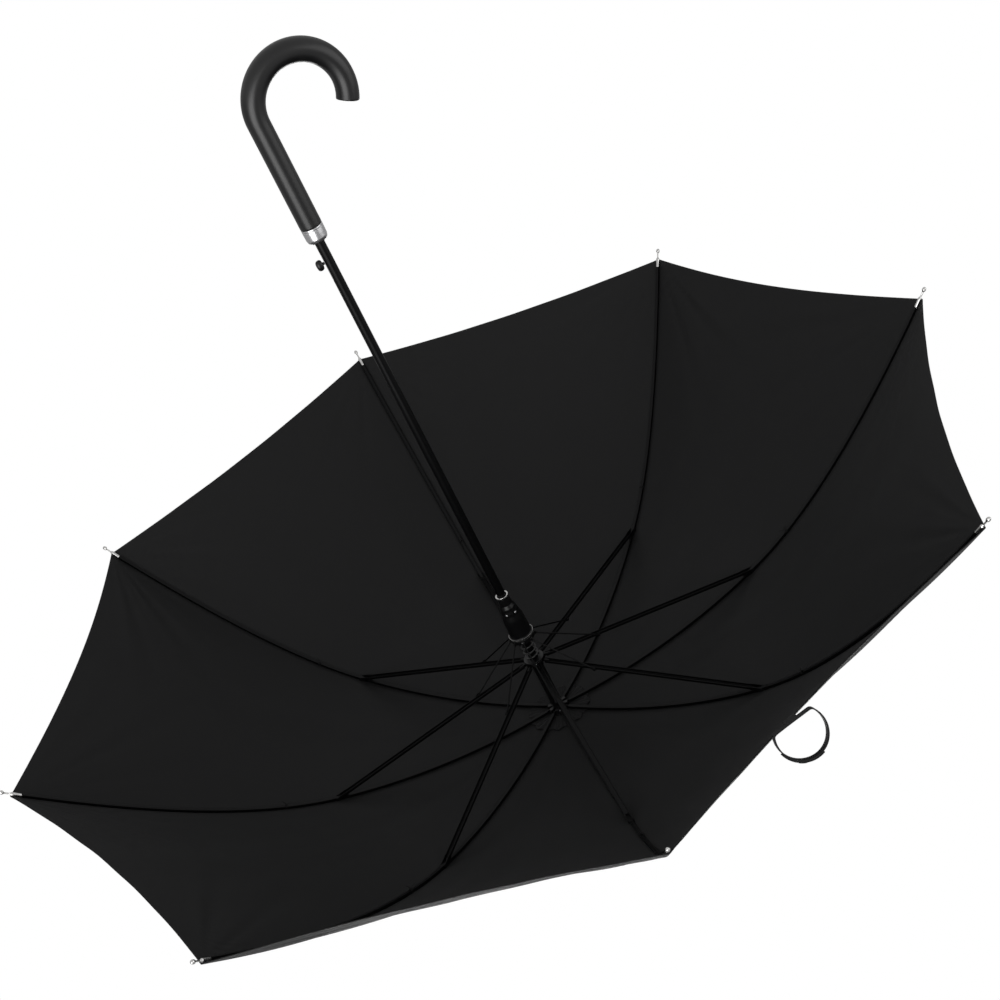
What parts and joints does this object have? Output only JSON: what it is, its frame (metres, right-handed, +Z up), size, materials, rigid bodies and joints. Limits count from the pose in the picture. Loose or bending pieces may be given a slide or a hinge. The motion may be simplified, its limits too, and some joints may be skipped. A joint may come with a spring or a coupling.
{
  "type": "stick umbrella",
  "caption": "Open stick umbrella with crook handle, folding ribs and stretchers, floating hub, sprung runner, release knob, scalloped canopy and tie strap.",
  "frame": {"origin": "on the shaft's axis, level with the lowest point of the crook", "axes": "+Z up the shaft towards the ferrule; the crook opens towards +X; the umbrella is open at rest"},
  "size_m": [1.0232, 1.0232, 0.8199],
  "materials": {
    "canopy_cloth": "plain-woven polyester, matt with a slight sheen",
    "strap_webbing": "narrow woven tape",
    "handle_plastic": "soft-touch moulded grip",
    "collar_metal": "spun and brushed",
    "black_steel": "black enamel, satin",
    "bright_steel": "bare wire",
    "spring_steel": "oiled black wire",
    "black_plastic": "moulded, satin",
    "nickel": "nickel-plated"
  },
  "bodies": {
    "root": {"shaft": "black_steel", "handle": "handle_plastic", "handle_collar": "collar_metal", "crown_notch": "black_plastic", "crown_wire": "bright_steel", "top_cap": "black_plastic", "ferrule": "nickel", "canopy": "canopy_cloth", "inner_rosette": "canopy_cloth", "tie_strap": "strap_webbing"},
    "rib_1": {"rib_inner_1": "black_steel"},
    "rib_end_1": {"rib_outer_1": "black_steel", "tip_1": "nickel"},
    "stretcher_1": {"stretcher_1": "black_steel"},
    "rib_2": {"rib_inner_2": "black_steel"},
    "rib_end_2": {"rib_outer_2": "black_steel", "tip_2": "nickel"},
    "stretcher_2": {"stretcher_2": "black_steel"},
    "rib_3": {"rib_inner_3": "black_steel"},
    "rib_end_3": {"rib_outer_3": "black_steel", "tip_3": "nickel"},
    "stretcher_3": {"stretcher_3": "black_steel"},
    "rib_4": {"rib_inner_4": "black_steel"},
    "rib_end_4": {"rib_outer_4": "black_steel", "tip_4": "nickel"},
    "stretcher_4": {"stretcher_4": "black_steel"},
    "rib_5": {"rib_inner_5": "black_steel"},
    "rib_end_5": {"rib_outer_5": "black_steel", "tip_5": "nickel"},
    "stretcher_5": {"stretcher_5": "black_steel"},
    "rib_6": {"rib_inner_6": "black_steel"},
    "rib_end_6": {"rib_outer_6": "black_steel", "tip_6": "nickel"},
    "stretcher_6": {"stretcher_6": "black_steel"},
    "rib_7": {"rib_inner_7": "black_steel"},
    "rib_end_7": {"rib_outer_7": "black_steel", "tip_7": "nickel"},
    "stretcher_7": {"stretcher_7": "black_steel"},
    "rib_8": {"rib_inner_8": "black_steel"},
    "rib_end_8": {"rib_outer_8": "black_steel", "tip_8": "nickel"},
    "stretcher_8": {"stretcher_8": "black_steel"},
    "hub": {"hub": "black_plastic", "hub_wire": "bright_steel", "main_spring": "spring_steel"},
    "runner": {"runner": "black_plastic", "runner_wire": "bright_steel", "runner_rim": "nickel", "runner_rivet_1": "nickel", "runner_rivet_2": "nickel"},
    "link_1": {"link_1": "black_steel"},
    "link_2": {"link_2": "black_steel"},
    "link_3": {"link_3": "black_steel"},
    "link_4": {"link_4": "black_steel"},
    "link_5": {"link_5": "black_steel"},
    "link_6": {"link_6": "black_steel"},
    "link_7": {"link_7": "black_steel"},
    "link_8": {"link_8": "black_steel"},
    "release": {"catch_lever": "bright_steel", "release_knob": "black_plastic"}
  },
  "joints": [
    {"name": "rib_1_fold", "type": "hinge", "parent": "root", "child": "rib_1", "pos_m": [0.00688, -0.005, 0.7457], "axis": [0.5878, 0.809, 0], "range_deg": [0, 78], "stiffness_Nm_per_rad": 1, "springref_deg": -85.94, "deforming": ["canopy", "tie_strap", "inner_rosette"]},
    {"name": "rib_1_flex", "type": "hinge", "parent": "rib_1", "child": "rib_end_1", "pos_m": [0.19902, -0.1446, 0.7122], "axis": [0.5878, 0.809, 0], "range_deg": [-23.8, 0.1]},
    {"name": "stretcher_1_turn", "type": "hinge", "parent": "rib_1", "child": "stretcher_1", "pos_m": [0.19902, -0.1446, 0.7122], "axis": [0.5878, 0.809, 0], "range_deg": [-156.1, 0.1]},
    {"name": "rib_2_fold", "type": "hinge", "parent": "root", "child": "rib_2", "pos_m": [0.0084, 0.00133, 0.7457], "axis": [-0.1564, 0.9877, 0], "range_deg": [0, 78]},
    {"name": "rib_2_flex", "type": "hinge", "parent": "rib_2", "child": "rib_end_2", "pos_m": [0.24297, 0.03848, 0.7122], "axis": [-0.1564, 0.9877, 0], "range_deg": [-23.8, 0.1]},
    {"name": "stretcher_2_turn", "type": "hinge", "parent": "rib_2", "child": "stretcher_2", "pos_m": [0.24297, 0.03848, 0.7122], "axis": [-0.1564, 0.9877, 0], "range_deg": [-156.1, 0.1]},
    {"name": "rib_3_fold", "type": "hinge", "parent": "root", "child": "rib_3", "pos_m": [0.005, 0.00688, 0.7457], "axis": [-0.809, 0.5878, 0], "range_deg": [0, 78]},
    {"name": "rib_3_flex", "type": "hinge", "parent": "rib_3", "child": "rib_end_3", "pos_m": [0.1446, 0.19902, 0.7122], "axis": [-0.809, 0.5878, 0], "range_deg": [-23.8, 0.1]},
    {"name": "stretcher_3_turn", "type": "hinge", "parent": "rib_3", "child": "stretcher_3", "pos_m": [0.1446, 0.19902, 0.7122], "axis": [-0.809, 0.5878, 0], "range_deg": [-156.1, 0.1]},
    {"name": "rib_4_fold", "type": "hinge", "parent": "root", "child": "rib_4", "pos_m": [-0.00133, 0.0084, 0.7457], "axis": [-0.9877, -0.1564, 0], "range_deg": [0, 78]},
    {"name": "rib_4_flex", "type": "hinge", "parent": "rib_4", "child": "rib_end_4", "pos_m": [-0.03848, 0.24297, 0.7122], "axis": [-0.9877, -0.1564, 0], "range_deg": [-23.8, 0.1]},
    {"name": "stretcher_4_turn", "type": "hinge", "parent": "rib_4", "child": "stretcher_4", "pos_m": [-0.03848, 0.24297, 0.7122], "axis": [-0.9877, -0.1564, 0], "range_deg": [-156.1, 0.1]},
    {"name": "rib_5_fold", "type": "hinge", "parent": "root", "child": "rib_5", "pos_m": [-0.00688, 0.005, 0.7457], "axis": [-0.5878, -0.809, 0], "range_deg": [0, 78]},
    {"name": "rib_5_flex", "type": "hinge", "parent": "rib_5", "child": "rib_end_5", "pos_m": [-0.19902, 0.1446, 0.7122], "axis": [-0.5878, -0.809, 0], "range_deg": [-23.8, 0.1]},
    {"name": "stretcher_5_turn", "type": "hinge", "parent": "rib_5", "child": "stretcher_5", "pos_m": [-0.19902, 0.1446, 0.7122], "axis": [-0.5878, -0.809, 0], "range_deg": [-156.1, 0.1]},
    {"name": "rib_6_fold", "type": "hinge", "parent": "root", "child": "rib_6", "pos_m": [-0.0084, -0.00133, 0.7457], "axis": [0.1564, -0.9877, 0], "range_deg": [0, 78]},
    {"name": "rib_6_flex", "type": "hinge", "parent": "rib_6", "child": "rib_end_6", "pos_m": [-0.24297, -0.03848, 0.7122], "axis": [0.1564, -0.9877, 0], "range_deg": [-23.8, 0.1]},
    {"name": "stretcher_6_turn", "type": "hinge", "parent": "rib_6", "child": "stretcher_6", "pos_m": [-0.24297, -0.03848, 0.7122], "axis": [0.1564, -0.9877, 0], "range_deg": [-156.1, 0.1]},
    {"name": "rib_7_fold", "type": "hinge", "parent": "root", "child": "rib_7", "pos_m": [-0.005, -0.00688, 0.7457], "axis": [0.809, -0.5878, 0], "range_deg": [0, 78]},
    {"name": "rib_7_flex", "type": "hinge", "parent": "rib_7", "child": "rib_end_7", "pos_m": [-0.1446, -0.19902, 0.7122], "axis": [0.809, -0.5878, 0], "range_deg": [-23.8, 0.1]},
    {"name": "stretcher_7_turn", "type": "hinge", "parent": "rib_7", "child": "stretcher_7", "pos_m": [-0.1446, -0.19902, 0.7122], "axis": [0.809, -0.5878, 0], "range_deg": [-156.1, 0.1]},
    {"name": "rib_8_fold", "type": "hinge", "parent": "root", "child": "rib_8", "pos_m": [0.00133, -0.0084, 0.7457], "axis": [0.9877, 0.1564, 0], "range_deg": [0, 78]},
    {"name": "rib_8_flex", "type": "hinge", "parent": "rib_8", "child": "rib_end_8", "pos_m": [0.03848, -0.24297, 0.7122], "axis": [0.9877, 0.1564, 0], "range_deg": [-23.8, 0.1]},
    {"name": "stretcher_8_turn", "type": "hinge", "parent": "rib_8", "child": "stretcher_8", "pos_m": [0.03848, -0.24297, 0.7122], "axis": [0.9877, 0.1564, 0], "range_deg": [-156.1, 0.1]},
    {"name": "hub_turn", "type": "hinge", "parent": "stretcher_1", "child": "hub", "pos_m": [0.00688, -0.005, 0.6787], "axis": [0.5878, 0.809, 0], "range_deg": [-0.1, 78.1]},
    {"name": "runner_slide", "type": "slide", "parent": "hub", "child": "runner", "axis": [0, 0, 1], "range_m": [-0.0001, 0.02323], "deforming": ["main_spring"]},
    {"name": "link_1_turn", "type": "hinge", "parent": "runner", "child": "link_1", "pos_m": [0.01138, -0.00382, 0.6456], "axis": [0.5878, 0.809, 0], "range_deg": [-53.48, 0.1]},
    {"name": "link_2_turn", "type": "hinge", "parent": "runner", "child": "link_2", "pos_m": [0.01074, 0.00535, 0.6456], "axis": [-0.1564, 0.9877, 0], "range_deg": [-53.48, 0.1]},
    {"name": "link_3_turn", "type": "hinge", "parent": "runner", "child": "link_3", "pos_m": [0.00382, 0.01138, 0.6456], "axis": [-0.809, 0.5878, 0], "range_deg": [-53.48, 0.1]},
    {"name": "link_4_turn", "type": "hinge", "parent": "runner", "child": "link_4", "pos_m": [-0.00535, 0.01074, 0.6456], "axis": [-0.9877, -0.1564, 0], "range_deg": [-53.48, 0.1]},
    {"name": "link_5_turn", "type": "hinge", "parent": "runner", "child": "link_5", "pos_m": [-0.01138, 0.00382, 0.6456], "axis": [-0.5878, -0.809, 0], "range_deg": [-53.48, 0.1]},
    {"name": "link_6_turn", "type": "hinge", "parent": "runner", "child": "link_6", "pos_m": [-0.01074, -0.00535, 0.6456], "axis": [0.1564, -0.9877, 0], "range_deg": [-53.48, 0.1]},
    {"name": "link_7_turn", "type": "hinge", "parent": "runner", "child": "link_7", "pos_m": [-0.00382, -0.01138, 0.6456], "axis": [0.809, -0.5878, 0], "range_deg": [-53.48, 0.1]},
    {"name": "link_8_turn", "type": "hinge", "parent": "runner", "child": "link_8", "pos_m": [0.00535, -0.01074, 0.6456], "axis": [0.9877, 0.1564, 0], "range_deg": [-53.48, 0.1]},
    {"name": "release_press", "type": "slide", "parent": "root", "child": "release", "axis": [1, 0, 0], "range_m": [0, 0.0017], "stiffness_N_per_m": 300, "springref_m": -0.002}
  ],
  "couplings": [
    {"joint": "rib_1_flex", "follows": "rib_1_fold", "ratio": -0.30385},
    {"joint": "stretcher_1_turn", "follows": "rib_1_fold", "ratio": -2},
    {"joint": "rib_2_fold", "follows": "rib_1_fold", "ratio": 1},
    {"joint": "rib_2_flex", "follows": "rib_1_fold", "ratio": -0.30385},
    {"joint": "stretcher_2_turn", "follows": "rib_1_fold", "ratio": -2},
    {"joint": "rib_3_fold", "follows": "rib_1_fold", "ratio": 1},
    {"joint": "rib_3_flex", "follows": "rib_1_fold", "ratio": -0.30385},
    {"joint": "stretcher_3_turn", "follows": "rib_1_fold", "ratio": -2},
    {"joint": "rib_4_fold", "follows": "rib_1_fold", "ratio": 1},
    {"joint": "rib_4_flex", "follows": "rib_1_fold", "ratio": -0.30385},
    {"joint": "stretcher_4_turn", "follows": "rib_1_fold", "ratio": -2},
    {"joint": "rib_5_fold", "follows": "rib_1_fold", "ratio": 1},
    {"joint": "rib_5_flex", "follows": "rib_1_fold", "ratio": -0.30385},
    {"joint": "stretcher_5_turn", "follows": "rib_1_fold", "ratio": -2},
    {"joint": "rib_6_fold", "follows": "rib_1_fold", "ratio": 1},
    {"joint": "rib_6_flex", "follows": "rib_1_fold", "ratio": -0.30385},
    {"joint": "stretcher_6_turn", "follows": "rib_1_fold", "ratio": -2},
    {"joint": "rib_7_fold", "follows": "rib_1_fold", "ratio": 1},
    {"joint": "rib_7_flex", "follows": "rib_1_fold", "ratio": -0.30385},
    {"joint": "stretcher_7_turn", "follows": "rib_1_fold", "ratio": -2},
    {"joint": "rib_8_fold", "follows": "rib_1_fold", "ratio": 1},
    {"joint": "rib_8_flex", "follows": "rib_1_fold", "ratio": -0.30385},
    {"joint": "stretcher_8_turn", "follows": "rib_1_fold", "ratio": -2},
    {"joint": "hub_turn", "follows": "rib_1_fold", "ratio": 1},
    {"joint": "runner_slide", "follows": "rib_1_fold", "m_per_rad": 0.016993},
    {"joint": "link_1_turn", "follows": "rib_1_fold", "ratio": -0.68435},
    {"joint": "link_2_turn", "follows": "rib_1_fold", "ratio": -0.68435},
    {"joint": "link_3_turn", "follows": "rib_1_fold", "ratio": -0.68435},
    {"joint": "link_4_turn", "follows": "rib_1_fold", "ratio": -0.68435},
    {"joint": "link_5_turn", "follows": "rib_1_fold", "ratio": -0.68435},
    {"joint": "link_6_turn", "follows": "rib_1_fold", "ratio": -0.68435},
    {"joint": "link_7_turn", "follows": "rib_1_fold", "ratio": -0.68435},
    {"joint": "link_8_turn", "follows": "rib_1_fold", "ratio": -0.68435}
  ]
}
